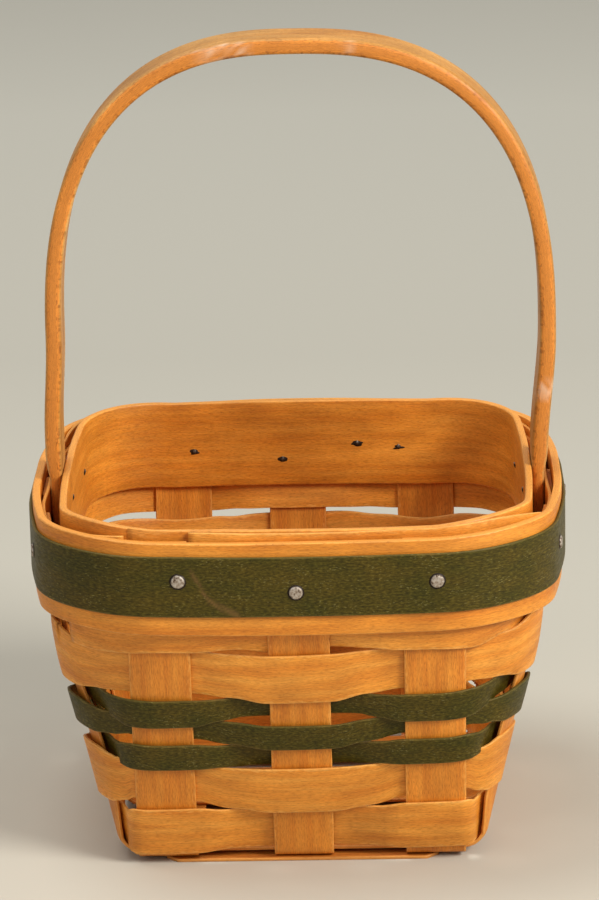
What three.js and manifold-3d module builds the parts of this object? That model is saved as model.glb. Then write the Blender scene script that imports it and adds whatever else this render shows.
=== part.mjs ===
// A small square basket of woven wooden splints with a fixed bentwood handle.
// Millimetres, +Z up. The front is -Y and the handle spans X. The origin is under the middle of the base.
// Three stakes cross three stakes in the base, and all twelve ends turn up as the uprights of the walls.
// Eight rows are woven round them. Two bands clamp the rim and the handle, and nails hold them.

import * as THREE from 'three';
import { mergeVertices } from 'three/addons/utils/BufferGeometryUtils.js';
import Module from 'manifold-3d';

const wasm = await Module();
wasm.setup();

// Splints
const splint = 0.9;
const seat = 0.15;
const stakeWidth = 15.9;
const naturalWidth = 12.7;
const greenWidth = 6.7;

// Wall, as the half sizes of the middle surface of the uprights
const footHalfWidth = 47.3;
const footHalfDepth = 42.8;
const wallBowShare = 0.38;
const frontEase = 0.55;
const sideEase = 1.55;
const rimFlat = 36;
const sideBow = 2;
const frontBow = 2.5;
const bowReach = 52;
const cornerLift = 1;

// Stakes: distance of the outer ones from the middle one, and how far each end wanders from that place
const depthStakePitch = 35.4;
const widthStakePitch = 32;
const frontWander = [-0.2, 0.5, 0.2];
const backWander = [1.8, -1.2, -0.2];
const depthStakeBend = 3;
const widthStakeBend = 5;
const stakeTop = 95.5;
const sideStakeTop = 92;

// Rows
const firstRowBottom = 4.2;
const rowGap = 0.4;
const sixthRowBreath = 1.2;
const topRowBottom = 83.4;
const rowDip = 0.4;
const firstRowTuck = 1.6;
const lapLead = 5;
const lapTail = 1.5;
const cornerLapLead = 11;
const buttGap = 0.5;
const zoneMargin = 0.3;

// Base fillers
const fillerWidth = 14.6;
const fillerHalfLength = 46;
const edgeFillerWidth = 5.6;
const edgeFillerHalfLength = 36.3;
const edgeFillerReach = 44;
const cornerClip = 3;

// Rim: the inner band's inside, then the layers that lie outside it
const innerBandHalfWidth = 60.8;
const innerBandHalfDepth = 58.8;
const innerBandThickness = 2;
const innerBandBottom = 72.9;
const innerBandHeight = 24.8;
const outerBandThickness = 2.2;
const outerBandBottom = 71.3;
const outerBandHeight = 23.7;
const trimThickness = 0.8;
const trimBottom = 76.2;
const trimHeight = 15.2;
const bandLap = 34;
const bandTip = 0.5;
const trimLap = 14;
const trimTip = 0.25;

// Handle
const handleWidth = 16.1;
const handleThickness = 3.8;
const handleFootThickness = 3.5;
const handleFoot = 77;
const handleSpring = 134;
const handleTop = 214.8;
const handleLeftReach = 63.9;
const handleRightReach = 67.4;
const handleLeftCurve = 2.5;
const handleRightCurve = 2.6;
const handleEdge = 1.1;

// Nails
const nailHeadRadius = 1.9;
const nailHeadHeight = 0.7;
const nailRadius = 0.55;
const nailHoleRadius = 0.75;
const nailSeat = 0.05;
const clinchLength = 2.6;
const holeOverrun = 3;

// Uprights on each side, as a count
const stakeCount = 3;

// Smoothness, as counts
const bendSteps = 5;
const cornerSteps = 4;
const gapSteps = 3;
const archSteps = 12;
const nailSides = 8;
const headSides = 10;

const weaveStep = splint + seat;
const rimHalfWidth = innerBandHalfWidth + innerBandThickness + seat + splint + seat / 2;
const rimHalfDepth = innerBandHalfDepth + innerBandThickness + seat + splint + seat / 2;
const footFlatFront = depthStakePitch + stakeWidth / 2 + frontEase;
const footFlatSide = widthStakePitch + stakeWidth / 2 + sideEase;
const rimCorner = rimHalfDepth - frontBow - rimFlat;
const handleSpread = handleFootThickness + seat;
const quarter = Math.PI / 2;

// Sides are walked anticlockwise seen from above: front, right, back, left.
const travel = [[1, 0], [0, 1], [-1, 0], [0, -1]];
const outward = [[0, -1], [1, 0], [0, 1], [-1, 0]];
const sideCount = travel.length;

const natural = { color: 0xd99a52, roughness: 0.62, metalness: 0 };
const green = { color: 0x3f4a26, roughness: 0.7, metalness: 0 };
const steel = { color: 0xa9a6a2, roughness: 0.45, metalness: 0.9 };

const basket = new THREE.Group();

function add(name, geometry, look) {
  const mesh = new THREE.Mesh(geometry, new THREE.MeshStandardMaterial(look));
  mesh.name = name;
  basket.add(mesh);
}

function clamp(value, low, high) {
  return Math.min(Math.max(value, low), high);
}

function smooth(value) {
  const share = clamp(value, 0, 1);
  return share * share * (3 - 2 * share);
}

function mix(from, to, share) {
  return from + (to - from) * share;
}

// Rows, from the base up. Odd rows pass outside the left stake at the front, even rows pass inside it.

const rows = [];

function addRow(width, bottom, lapStake, details = {}) {
  const top = bottom + width;
  const middle = details.middle ?? mix(bottom, top, 1 / 2);
  const levels = width === greenWidth ? [bottom, top] : [bottom, middle, top];
  rows.push({
    number: rows.length + 1,
    lapStake,
    bottom,
    top,
    levels,
    look: width === greenWidth ? green : natural,
    dip: rowDip,
    tuck: 0,
    lead: lapLead,
    tail: stakeWidth + lapTail,
    ...details,
  });
  return top + rowGap;
}

let nextBottom = firstRowBottom;
nextBottom = addRow(naturalWidth, nextBottom, 8, { tuck: firstRowTuck });
nextBottom = addRow(naturalWidth, nextBottom, 5);
nextBottom = addRow(greenWidth, nextBottom, 10);
nextBottom = addRow(greenWidth, nextBottom, 7);
nextBottom = addRow(greenWidth, nextBottom, 4);
const sixthRow = nextBottom;
nextBottom = addRow(naturalWidth, sixthRow, 9);
const clampedRow = nextBottom - rowGap + sixthRowBreath;
addRow(naturalWidth, clampedRow, 0, {
  middle: innerBandBottom,
  dip: 0,
  lead: cornerLapLead,
  tail: -buttGap,
});
addRow(naturalWidth, topRowBottom, 0, {
  dip: 0,
  lead: -stakeWidth - buttGap,
  tail: -buttGap,
});
const topRow = rows.length;
const clampedRowTop = rows[topRow - 2].top;

// Wall surface: a box with round corners and slightly bowed sides.
// It flares from the base, stands upright in the rim, and its corners widen and lift a little on the way.

function wallShare(height) {
  const share = clamp(height / innerBandBottom, 0, 1);
  return share + wallBowShare * share * (1 - share);
}

// Half size at the middle of a side
function wallReach(side, height) {
  const foot = side % 2 ? footHalfWidth : footHalfDepth;
  const rim = side % 2 ? rimHalfWidth : rimHalfDepth;
  return mix(foot, rim, wallShare(height));
}

// Half length of a side's straight part
function flatHalf(side, height) {
  return mix(side % 2 ? footFlatSide : footFlatFront, rimFlat, wallShare(height));
}

// The front and back bow more and more on the way up, the left and right only from the sixth row on.
function bow(side, height) {
  if (side % 2 === 0) return frontBow * wallShare(height);
  return sideBow * smooth((height - sixthRow) / (innerBandBottom - sixthRow));
}

// How far the sides are pushed out where they pass round the handle's feet
function handleRise(height) {
  return smooth((height - clampedRow) / (mix(topRowBottom, stakeTop, 1 / 2) - clampedRow));
}

function bulge(outline, side, distance, height) {
  const beyond = Math.max(distance - handleWidth / 2, 0);
  const share = clamp(1 - (beyond / bowReach) ** 2, 0, 1);
  const pushed = side % 2 ? handleSpread * outline.rise(height) : 0;
  return (bow(side, outline.level(height)) + pushed) * share * share;
}

// Every layer bends at the same few steps of a corner, so that the layers lie flat on each other between them.
function onCorner(curve, turn) {
  const step = quarter / cornerSteps;
  const low = Math.min(Math.floor(turn / step), cornerSteps - 1);
  return mix(curve(low * step), curve((low + 1) * step), turn / step - low);
}

const wall = { level: (height) => height, rise: handleRise };
const rim = { level: () => innerBandBottom, rise: () => 1 };
const innerRim = { level: () => innerBandBottom, rise: () => 0 };

// A place is a side, a share of the way from its middle to its end, and a turn into the corner after it.
function outlinePoint(outline, place, height, offset) {
  const level = outline.level(height);
  const flat = flatHalf(place.side, level);
  const nextFlat = flatHalf(place.side + 1, level);
  const distance = Math.abs(place.share) * flat + place.turn * rimCorner;
  let out = offset + bulge(outline, place.side, distance, height);
  if (place.turn > 0) {
    out += bulge(outline, place.side + 1, nextFlat + (quarter - place.turn) * rimCorner, height);
  }
  const away = outward[place.side];
  const on = travel[place.side];
  const radius = wallReach(place.side, level) - bow(place.side, level) - nextFlat + out;
  const nextRadius = wallReach(place.side + 1, level) - bow(place.side + 1, level) - flat + out;
  const reach = nextFlat + radius * onCorner(Math.cos, place.turn);
  const along = place.share * flat + nextRadius * onCorner(Math.sin, place.turn);
  const lift = cornerLift * wallShare(level) * onCorner((turn) => Math.sin(2 * turn), place.turn);
  return [away[0] * reach + on[0] * along, away[1] * reach + on[1] * along, height + lift];
}

// Distance round the wall at one height, which starts at the front left corner's end

function cornerAt(height) {
  const corner = (side) => wallReach(side, height) - bow(side, height) - flatHalf(side + 1, height);
  return mix(corner(0), corner(1), 1 / 2);
}

function sideRun(side, height) {
  return 2 * flatHalf(side, height) + quarter * cornerAt(height);
}

function halfRun(height) {
  return sideRun(0, height) + sideRun(1, height);
}

function runOf(height, side, along) {
  const before = Math.floor(side / 2) * halfRun(height) + (side % 2 ? sideRun(0, height) : 0);
  return before + flatHalf(side, height) + along;
}

function placeAt(height, run) {
  const halves = Math.floor(run / halfRun(height));
  const inHalf = run - halves * halfRun(height);
  const first = inHalf < sideRun(0, height);
  const side = (2 * (halves % 2) + (first ? 0 : 1) + sideCount) % sideCount;
  const rest = first ? inHalf : inHalf - sideRun(0, height);
  const flat = flatHalf(side, height);
  if (rest <= 2 * flat) return { side, share: rest / flat - 1, turn: 0 };
  return { side, share: 1, turn: (rest - 2 * flat) / cornerAt(height) };
}

// Runs of the corners' starts, ends and steps between two runs
function cornerRuns(height, from, to) {
  const runs = [];
  for (let side = -sideCount; side < 2 * sideCount; side += 1) {
    const start = runOf(height, side, flatHalf(side, height));
    for (let step = 0; step <= cornerSteps; step += 1) {
      runs.push(start + (quarter * cornerAt(height) * step) / cornerSteps);
    }
  }
  return runs.filter((run) => run > from && run < to);
}

function tidyRuns(runs, from, to) {
  const least = splint / 2;
  const kept = [];
  for (const run of [...runs].sort((a, b) => a - b)) {
    const last = kept.length ? kept[kept.length - 1] : from;
    if (run - last > least && to - run > least) kept.push(run);
  }
  return [from, ...kept, to];
}

// Closed meshes

function closedGeometry(positions, indices) {
  const geometry = new THREE.BufferGeometry();
  geometry.setAttribute('position', new THREE.Float32BufferAttribute(positions.flat(), 3));
  let volume = 0;
  for (let i = 0; i < indices.length; i += 3) {
    const [a, b, c] = indices.slice(i, i + 3).map((at) => new THREE.Vector3(...positions[at]));
    volume += a.dot(b.cross(c));
  }
  if (volume < 0) indices.reverse();
  geometry.setIndex(indices);
  geometry.computeVertexNormals();
  return geometry;
}

function addQuad(indices, a, b, c, d) {
  indices.push(a, b, c, a, c, d);
}

// A flat strip: each section has the outer face's points from edge to edge, and the inner face's.
function ribbon(sections) {
  const levels = sections[0].outer.length;
  const positions = sections.flatMap((section) => [...section.outer, ...section.inner]);
  const at = (station, face, level) => (station * 2 + face) * levels + level;
  const indices = [];
  for (let i = 0; i < sections.length - 1; i += 1) {
    for (let k = 0; k < levels - 1; k += 1) {
      addQuad(indices, at(i, 0, k), at(i + 1, 0, k), at(i + 1, 0, k + 1), at(i, 0, k + 1));
      addQuad(indices, at(i, 1, k + 1), at(i + 1, 1, k + 1), at(i + 1, 1, k), at(i, 1, k));
    }
    const top = levels - 1;
    addQuad(indices, at(i, 1, 0), at(i + 1, 1, 0), at(i + 1, 0, 0), at(i, 0, 0));
    addQuad(indices, at(i, 0, top), at(i + 1, 0, top), at(i + 1, 1, top), at(i, 1, top));
  }
  const end = sections.length - 1;
  for (let k = 0; k < levels - 1; k += 1) {
    addQuad(indices, at(0, 0, k), at(0, 0, k + 1), at(0, 1, k + 1), at(0, 1, k));
    addQuad(indices, at(end, 1, k), at(end, 1, k + 1), at(end, 0, k + 1), at(end, 0, k));
  }
  return closedGeometry(positions, indices);
}

// A rounded bar: each ring has the same number of points.
function bar(rings) {
  const sides = rings[0].length;
  const positions = rings.flat();
  const at = (station, side) => station * sides + (side % sides);
  const indices = [];
  for (let i = 0; i < rings.length - 1; i += 1) {
    for (let k = 0; k < sides; k += 1) {
      addQuad(indices, at(i, k), at(i + 1, k), at(i + 1, k + 1), at(i, k + 1));
    }
  }
  const end = rings.length - 1;
  for (let k = 1; k < sides - 1; k += 1) {
    indices.push(at(0, 0), at(0, k), at(0, k + 1));
    indices.push(at(end, 0), at(end, k + 1), at(end, k));
  }
  return closedGeometry(positions, indices);
}

function toSolid(geometry) {
  const bare = geometry.clone();
  bare.deleteAttribute('normal');
  bare.deleteAttribute('uv');
  const merged = mergeVertices(bare);
  return new wasm.Manifold(new wasm.Mesh({
    numProp: 3,
    vertProperties: Float32Array.from(merged.attributes.position.array),
    triVerts: Uint32Array.from(merged.index.array),
  }));
}

function toGeometry(solid) {
  const mesh = solid.getMesh();
  const geometry = new THREE.BufferGeometry();
  geometry.setAttribute('position', new THREE.BufferAttribute(mesh.vertProperties, mesh.numProp));
  geometry.setIndex(new THREE.BufferAttribute(mesh.triVerts, 1));
  geometry.computeVertexNormals();
  return geometry;
}

// Stakes: number 0 to 11 round the wall, three to a side.

function stakeAlong(number) {
  const side = Math.floor(number / stakeCount);
  const step = (number % stakeCount) - 1;
  if (side === 0) return step * depthStakePitch + frontWander[step + 1];
  if (side === 2) return step * depthStakePitch - backWander[1 - step];
  return step * widthStakePitch;
}

// 1 where a row passes outside a stake, -1 where it passes inside
function passing(rowNumber, number) {
  return (rowNumber + number) % 2 ? 1 : -1;
}

// Share of the way into the rim, where stake and row share the space between the bands
function clampShare(height) {
  return clamp((height - clampedRow) / (innerBandBottom - clampedRow), 0, 1);
}

function stakeShift(number, height) {
  const low = (-passing(topRow - 1, number) * weaveStep) / 2;
  const high = (-passing(topRow, number) * weaveStep) / 2;
  const share = clamp((height - clampedRowTop) / (topRowBottom - clampedRowTop), 0, 1);
  return clampShare(height) * mix(low, high, share);
}

const stationHeights = [...new Set(rows.flatMap((row) => (row.number < topRow - 1 ? row.levels.slice(0, -1) : row.levels)))];

// A point of an upright: x is its distance along the side from the side's middle
function uprightPlace(side, x, height) {
  const flat = flatHalf(side, height);
  if (Math.abs(x) <= flat) return { side, share: x / flat, turn: 0 };
  const neighbour = wallReach(side + 1, height) - bow(side + 1, height) - flat;
  const step = quarter / cornerSteps;
  const turn = (step * (Math.abs(x) - flat)) / (neighbour * Math.sin(step));
  if (x > 0) return { side, share: 1, turn };
  return { side: (side + sideCount - 1) % sideCount, share: 1, turn: quarter - turn };
}

// One end of a stake, from the flat of the base to the tip
function stakeEnd(number, floor, bend, tip) {
  const side = Math.floor(number / stakeCount);
  const middle = stakeAlong(number);
  const half = stakeWidth / 2;
  const slopeAt = (height) => {
    const step = splint / 4;
    return Math.atan2(wallReach(side, height + step) - wallReach(side, height - step), 2 * step);
  };
  // The uprights near a corner bend where the corner starts.
  const across = (height) => {
    const corner = Math.sign(middle) * flatHalf(side, height);
    const pivot = Math.abs(middle) < half ? middle : corner;
    return [middle - half, clamp(pivot, middle - half + splint, middle + half - splint), middle + half];
  };
  let join = floor + bend;
  for (let pass = 0; pass < 4; pass += 1) join = floor + bend * (1 - Math.sin(slopeAt(join)));
  const slope = slopeAt(join);
  const flatPoint = (x, reach, height) => {
    const [on, away] = [travel[side], outward[side]];
    return [on[0] * x + away[0] * reach, on[1] * x + away[1] * reach, height];
  };
  const joinPoints = across(join).map((x) => outlinePoint(wall, uprightPlace(side, x, join), join, 0));
  const reaches = joinPoints.map((point) => point[0] * outward[side][0] + point[1] * outward[side][1]);
  const sections = [];
  for (let step = 0; step < bendSteps; step += 1) {
    const angle = ((quarter - slope) * step) / bendSteps;
    const height = floor + bend * (1 - Math.cos(angle));
    const out = (splint / 2) * Math.sin(angle);
    const down = (splint / 2) * Math.cos(angle);
    const places = across(join).map((x, i) => [x, reaches[i] - bend * (Math.cos(slope) - Math.sin(angle))]);
    sections.push({
      outer: places.map(([x, reach]) => flatPoint(x, reach + out, height - down)),
      inner: places.map(([x, reach]) => flatPoint(x, reach - out, height + down)),
    });
  }
  const heights = stationHeights.filter((height) => height > join + splint && height < tip - splint);
  for (const height of [join, ...heights, tip]) {
    const lean = height < clampedRow ? slopeAt(height) : 0;
    const out = (splint / 2) * Math.cos(lean);
    const down = (splint / 2) * Math.sin(lean);
    const face = (sign) => across(height).map((x) => {
      const shift = stakeShift(number, height) + sign * out;
      const point = outlinePoint(wall, uprightPlace(side, x, height), height, shift);
      return [point[0], point[1], height - sign * down];
    });
    sections.push({ outer: face(1), inner: face(-1) });
  }
  return sections;
}

function stake(firstNumber, lastNumber, floor, bend, tip) {
  const flip = (section) => ({ outer: [...section.outer].reverse(), inner: [...section.inner].reverse() });
  const first = stakeEnd(firstNumber, floor, bend, tip).reverse();
  const last = stakeEnd(lastNumber, floor, bend, tip).map(flip);
  return ribbon([...first, ...last]);
}

const fillerMiddle = splint / 2;
const depthStakeFloor = fillerMiddle + weaveStep;
const widthStakeFloor = depthStakeFloor + weaveStep;

function makeStakes() {
  const made = [];
  ['left', 'middle', 'right'].forEach((word, i) => {
    const opposite = 3 * stakeCount - 1 - i;
    made.push([`stake_${word}`, stake(i, opposite, depthStakeFloor, depthStakeBend, stakeTop)]);
  });
  ['front', 'middle', 'back'].forEach((word, i) => {
    const number = stakeCount + i;
    const opposite = 4 * stakeCount - 1 - i;
    const tip = i === 1 ? sideStakeTop : stakeTop;
    made.push([`cross_stake_${word}`, stake(number, opposite, widthStakeFloor, widthStakeBend, tip)]);
  });
  return made;
}

// Woven rows

// The stretches of a row that lie flat against the stakes, in the order in which it passes them
function rowZones(row) {
  const level = mix(row.bottom, row.top, 1 / 2);
  const total = sideCount * stakeCount;
  const zones = [];
  for (let step = 0; step <= total; step += 1) {
    const number = (row.lapStake + step) % total;
    const laps = Math.floor((row.lapStake + step) / total);
    const middle = runOf(level, Math.floor(number / stakeCount), stakeAlong(number)) + 2 * laps * halfRun(level);
    const half = stakeWidth / 2 + zoneMargin;
    const side = step === total ? -1 : passing(row.number, number);
    const tucked = side < 0 && number % 2 === 1 ? row.tuck : 0;
    zones.push({ from: middle - half, to: middle + half, middle, swing: side * weaveStep - tucked });
  }
  return zones;
}

function swingAt(zones, run) {
  if (run <= zones[0].to) return zones[0].swing;
  for (let i = 0; i < zones.length - 1; i += 1) {
    const [zone, next] = [zones[i], zones[i + 1]];
    if (run <= next.from) return mix(zone.swing, next.swing, smooth((run - zone.to) / (next.from - zone.to)));
    if (run <= next.to) return next.swing;
  }
  return zones[zones.length - 1].swing;
}

function wovenRow(row) {
  const level = mix(row.bottom, row.top, 1 / 2);
  const zones = rowZones(row);
  const from = zones[0].from + zoneMargin - row.lead;
  const to = zones[zones.length - 1].from + zoneMargin + row.tail;
  const runs = cornerRuns(level, from, to);
  zones.forEach((zone, i) => {
    runs.push(zone.from, zone.to);
    if (row.number >= topRow - 1) runs.push(zone.middle);
    if (i === 0) return;
    const gap = zone.from - zones[i - 1].to;
    for (let step = 1; step < gapSteps; step += 1) runs.push(zones[i - 1].to + (gap * step) / gapSteps);
  });
  const inside = runs.filter((run) => run > from && run < to);
  const sections = tidyRuns(inside, from, to).map((run) => {
    const place = placeAt(level, run);
    const swing = swingAt(zones, run);
    const dip = row.dip * clamp(swing / weaveStep, -1, 1);
    const face = (sign) => row.levels.map((height) => {
      const offset = swing * (1 - clampShare(height) / 2) + (sign * splint) / 2;
      return outlinePoint(wall, place, height - dip, offset);
    });
    return { outer: face(1), inner: face(-1) };
  });
  return ribbon(sections);
}

// Base fillers: flat strips under the three front-to-back stakes

function filler(halfLength, width, middle, clip) {
  const shape = new THREE.Shape();
  const [end, side] = [halfLength, width / 2];
  shape.moveTo(-end + clip, -side);
  shape.lineTo(end - clip, -side);
  if (clip) shape.lineTo(end, side - (width - clip) / 2);
  shape.lineTo(end, side);
  shape.lineTo(-end, side);
  if (clip) shape.lineTo(-end, side - (width - clip) / 2);
  shape.closePath();
  const geometry = new THREE.ExtrudeGeometry(shape, { depth: splint, bevelEnabled: false });
  if (middle > 0) geometry.rotateZ(Math.PI);
  geometry.translate(0, middle, 0);
  return geometry;
}

function makeFillers() {
  const inner = widthStakePitch / 2;
  const edge = edgeFillerReach - edgeFillerWidth / 2;
  add('edge_filler_front', filler(edgeFillerHalfLength, edgeFillerWidth, -edge, cornerClip), natural);
  add('base_filler_front', filler(fillerHalfLength, fillerWidth, -inner, 0), natural);
  add('base_filler_back', filler(fillerHalfLength, fillerWidth, inner, 0), natural);
  add('edge_filler_back', filler(edgeFillerHalfLength, edgeFillerWidth, edge, cornerClip), natural);
}

// Bands: each is one strip whose two ends overlap in a long taper, so the lap is no thicker than the band.

function band(outline, inside, thickness, bottom, height, lapMiddleRun, lap, tip) {
  const level = innerBandBottom;
  const from = lapMiddleRun - lap / 2;
  const round = 2 * halfRun(level);
  const last = 1 - (tip + seat) / (thickness - tip);
  const to = from + round + lap * last;
  const runs = cornerRuns(level, from, to);
  const bowSteps = 6;
  for (let side = -sideCount; side < 2 * sideCount; side += 1) {
    const start = runOf(level, side, -rimFlat);
    for (let step = 1; step < bowSteps; step += 1) runs.push(start + (2 * rimFlat * step) / bowSteps);
  }
  runs.push(from + lap, from + round - tip, from + round);
  const sections = tidyRuns(runs.filter((run) => run > from && run < to), from, to).map((run) => {
    const place = placeAt(level, run);
    const opening = (thickness - tip) * (1 - clamp((run - from) / lap, 0, 1));
    const closing = (run - from - round) / lap;
    const cut = closing >= 0 ? inside + (thickness - tip) * (1 - closing) - seat : inside + thickness;
    const face = (offset) => [bottom, bottom + height].map((z) => outlinePoint(outline, place, z, offset));
    return { outer: face(cut), inner: face(inside + opening) };
  });
  return ribbon(sections);
}

const innerBandInside = -innerBandThickness - seat - splint / 2 - weaveStep / 2;
const outerBandInside = weaveStep / 2 + splint / 2 + seat;
const trimInside = outerBandInside + outerBandThickness + seat;
const nailFace = trimInside + trimThickness;

function makeBands() {
  const backSide = 2;
  const lapPlace = runOf(innerBandBottom, backSide, -mix(middleNailPlace, extraNailPlace, 1 / 2));
  return [
    ['inner_band', band(innerRim, innerBandInside, innerBandThickness, innerBandBottom,
      innerBandHeight, lapPlace, bandLap, bandTip), natural],
    ['outer_band', band(rim, outerBandInside, outerBandThickness, outerBandBottom,
      outerBandHeight, lapPlace, bandLap, bandTip), natural],
    ['trim_strip', band(rim, trimInside, trimThickness, trimBottom,
      trimHeight, lapPlace, trimLap, trimTip), green],
  ];
}

// Handle: a flat bar bent to an arch, whose thinned feet stand between the inner band and the wall.

function handleStations() {
  const footInside = innerBandHalfWidth + innerBandThickness + seat;
  const stations = [];
  const leg = (side, reach) => {
    const list = [];
    const rimHeights = [handleFoot, ...stationHeights.filter((height) => height > handleFoot)];
    for (const height of rimHeights) {
      const thickness = clamp(handleSpread * handleRise(height) - seat, splint, handleFootThickness);
      list.push({ x: side * (footInside + thickness / 2), z: height, thickness });
    }
    const start = rows[topRow - 1].top;
    const steps = 5;
    for (let step = 1; step <= steps; step += 1) {
      const share = step / steps;
      const x = mix(footInside + handleFootThickness / 2, reach, smooth(share));
      const thickness = mix(handleFootThickness, handleThickness, smooth(share));
      list.push({ x: side * x, z: mix(start, handleSpring, share), thickness });
    }
    return list;
  };
  const arch = (side, reach, curve) => {
    const rise = handleTop - handleThickness / 2 - handleSpring;
    const list = [];
    for (let step = 1; step < archSteps; step += 1) {
      const angle = (quarter * step) / archSteps;
      list.push({
        x: side * reach * Math.cos(angle) ** (2 / curve),
        z: handleSpring + rise * Math.sin(angle) ** (2 / curve),
        thickness: handleThickness,
      });
    }
    return list;
  };
  stations.push(...leg(-1, handleLeftReach), ...arch(-1, handleLeftReach, handleLeftCurve));
  stations.push({ x: 0, z: handleTop - handleThickness / 2, thickness: handleThickness });
  stations.push(...arch(1, handleRightReach, handleRightCurve).reverse());
  stations.push(...leg(1, handleRightReach).reverse());
  return stations;
}

function handle() {
  const stations = handleStations();
  const halfWidth = handleWidth / 2;
  const rings = stations.map((station, i) => {
    const before = stations[Math.max(i - 1, 0)];
    const after = stations[Math.min(i + 1, stations.length - 1)];
    const direction = new THREE.Vector2(after.x - before.x, after.z - before.z).normalize();
    if (station.z < rows[topRow - 1].top) direction.set(0, Math.sign(direction.y));
    const half = station.thickness / 2;
    const edge = Math.min(handleEdge, half * (2 / 3));
    const soft = edge / 3;
    const corners = [
      [half, halfWidth - edge],
      [half - soft, halfWidth - soft],
      [half - edge, halfWidth],
    ];
    const outline = [
      ...corners,
      ...corners.map(([a, b]) => [-a, b]).reverse(),
      ...corners.map(([a, b]) => [-a, -b]),
      ...corners.map(([a, b]) => [a, -b]).reverse(),
    ];
    return outline.map(([a, b]) => [station.x - direction.y * a, b, station.z + direction.x * a]);
  });
  return bar(rings);
}

// Nails: distance along the side from its middle, and rise above the middle of the trim strip

const extraNailPlace = 16.3;
const frontNails = [[-30, 1.6], [0.2, -1.5], [36.4, 0.6]];
const middleNailPlace = -5.1;
const backNails = [[-30.6, 0.8], [middleNailPlace, -2.2], [extraNailPlace, 0.6], [29.2, 1.1]];
const cornerNailPlace = 35.2;
const cornerNailRise = 1;
const handleNailRise = 4.2;

function nailPlaces() {
  const places = [];
  frontNails.forEach(([x, rise], i) => places.push([`nail_front_${i + 1}`, 0, x, rise]));
  backNails.forEach(([x, rise], i) => places.push([`nail_back_${i + 1}`, 2, -x, rise]));
  [['right', 1], ['left', 3]].forEach(([word, side]) => {
    places.push([`nail_${word}_1`, side, -cornerNailPlace, cornerNailRise]);
    places.push([`nail_${word}_2`, side, 0, handleNailRise]);
    places.push([`nail_${word}_3`, side, cornerNailPlace, cornerNailRise]);
  });
  return places;
}

// The point under a nail's head, the way that its shank goes, and the depth to the inner band's inside
function nailLine(side, along, rise) {
  const height = trimBottom + trimHeight / 2 + rise;
  const at = (where) => new THREE.Vector3(
    ...outlinePoint(rim, { side, share: where / rimFlat, turn: 0 }, height, nailFace));
  const tangent = at(along + nailRadius).sub(at(along - nailRadius)).normalize();
  const inwards = new THREE.Vector3(0, 0, 1).cross(tangent);
  const head = at(along).addScaledVector(inwards, -nailSeat);
  const away = new THREE.Vector3(...outward[side], 0);
  const inside = new THREE.Vector3(
    ...outlinePoint(innerRim, { side, share: along / rimFlat, turn: 0 }, height, innerBandInside));
  const depth = (head.dot(away) - inside.dot(away)) / -inwards.dot(away);
  return { head, inwards, depth };
}

function alongLine(geometry, { head, inwards }) {
  const turn = new THREE.Quaternion().setFromUnitVectors(new THREE.Vector3(0, 1, 0), inwards);
  return geometry.applyQuaternion(turn).translate(head.x, head.y, head.z);
}

function nail(line) {
  const end = line.depth + nailSeat + 2 * nailRadius;
  const outline = [
    new THREE.Vector2(0, -nailHeadHeight),
    new THREE.Vector2(nailHeadRadius * (3 / 5), -nailHeadHeight * (4 / 5)),
    new THREE.Vector2(nailHeadRadius * (9 / 10), -nailHeadHeight / 2),
    new THREE.Vector2(nailHeadRadius, 0),
    new THREE.Vector2(nailRadius, 0),
    new THREE.Vector2(nailRadius, end),
    new THREE.Vector2(0, end),
  ];
  const body = alongLine(new THREE.LatheGeometry(outline, headSides), line);
  const clinch = new THREE.CylinderGeometry(nailRadius / 3, nailRadius, clinchLength, nailSides);
  clinch.rotateX(quarter);
  const reach = line.inwards.clone().multiplyScalar(end - nailRadius).add(line.head);
  clinch.translate(reach.x, reach.y, reach.z + clinchLength / 2);
  return toGeometry(toSolid(body).add(toSolid(clinch)));
}

function nailHole(line) {
  const length = line.depth + 2 * holeOverrun;
  const hole = new THREE.CylinderGeometry(nailHoleRadius, nailHoleRadius, length, nailSides);
  hole.translate(0, length / 2 - holeOverrun, 0);
  return toSolid(alongLine(hole, line));
}

function drill(geometry, holes) {
  let solid = toSolid(geometry);
  for (const hole of holes) {
    const cut = solid.subtract(hole);
    if (cut.numTri() !== solid.numTri()) solid = cut;
  }
  return toGeometry(solid);
}

// Assembly

const nails = nailPlaces().map(([name, side, along, rise]) => [name, nailLine(side, along, rise)]);
const holes = nails.map(([, line]) => nailHole(line));

makeFillers();
for (const [name, geometry] of makeStakes()) add(name, drill(geometry, holes), natural);
for (const row of rows) {
  const geometry = wovenRow(row);
  add(`row_${row.number}`, row.number >= topRow - 1 ? drill(geometry, holes) : geometry, row.look);
}
for (const [name, geometry, look] of makeBands()) add(name, drill(geometry, holes), look);
add('handle', drill(handle(), holes), natural);
for (const [name, line] of nails) add(name, nail(line), steel);

export default basket;
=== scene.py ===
# Looks of the splint basket: every wooden strip, the handle and the nails, finer than in the CAD.
# Metres, +Z up, the front is -Y and the handle spans X. Each piece stands for the CAD node of its name.

import functools
import math

import bpy
import numpy as np
from mathutils import Matrix, Vector, noise


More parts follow.
